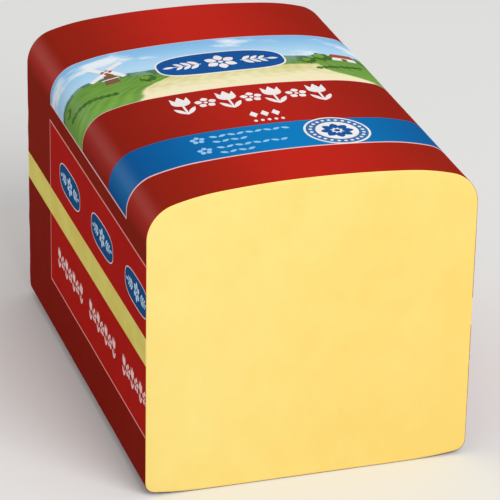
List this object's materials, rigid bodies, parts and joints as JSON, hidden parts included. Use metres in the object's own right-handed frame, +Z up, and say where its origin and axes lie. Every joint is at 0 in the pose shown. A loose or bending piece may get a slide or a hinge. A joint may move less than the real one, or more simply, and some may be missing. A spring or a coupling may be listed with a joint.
{
  "type": "edam cheese half loaf in film",
  "caption": "Half of a domed Edam loaf cheese, bare at the straight cut, in printed red shrink film with a clear band round the sides and closed end.",
  "frame": {"origin": "middle of the flat base, halfway between the cut face and the closed end", "axes": "+X across the loaf, +Y along it from the cut face to the closed end, +Z up"},
  "size_m": [0.105, 0.149, 0.1018],
  "materials": {
    "cheese": "pale yellow semi-hard cheese, smooth and slightly moist at the cut",
    "printed_film": "red printed shrink film, satin gloss",
    "clear_film": "clear shrink film lying on the yellow cheese, satin gloss"
  },
  "bodies": {
    "root": {"cheese": "cheese", "film_upper": "printed_film", "film_lower": "printed_film", "film_window": "clear_film"}
  },
  "joints": []
}
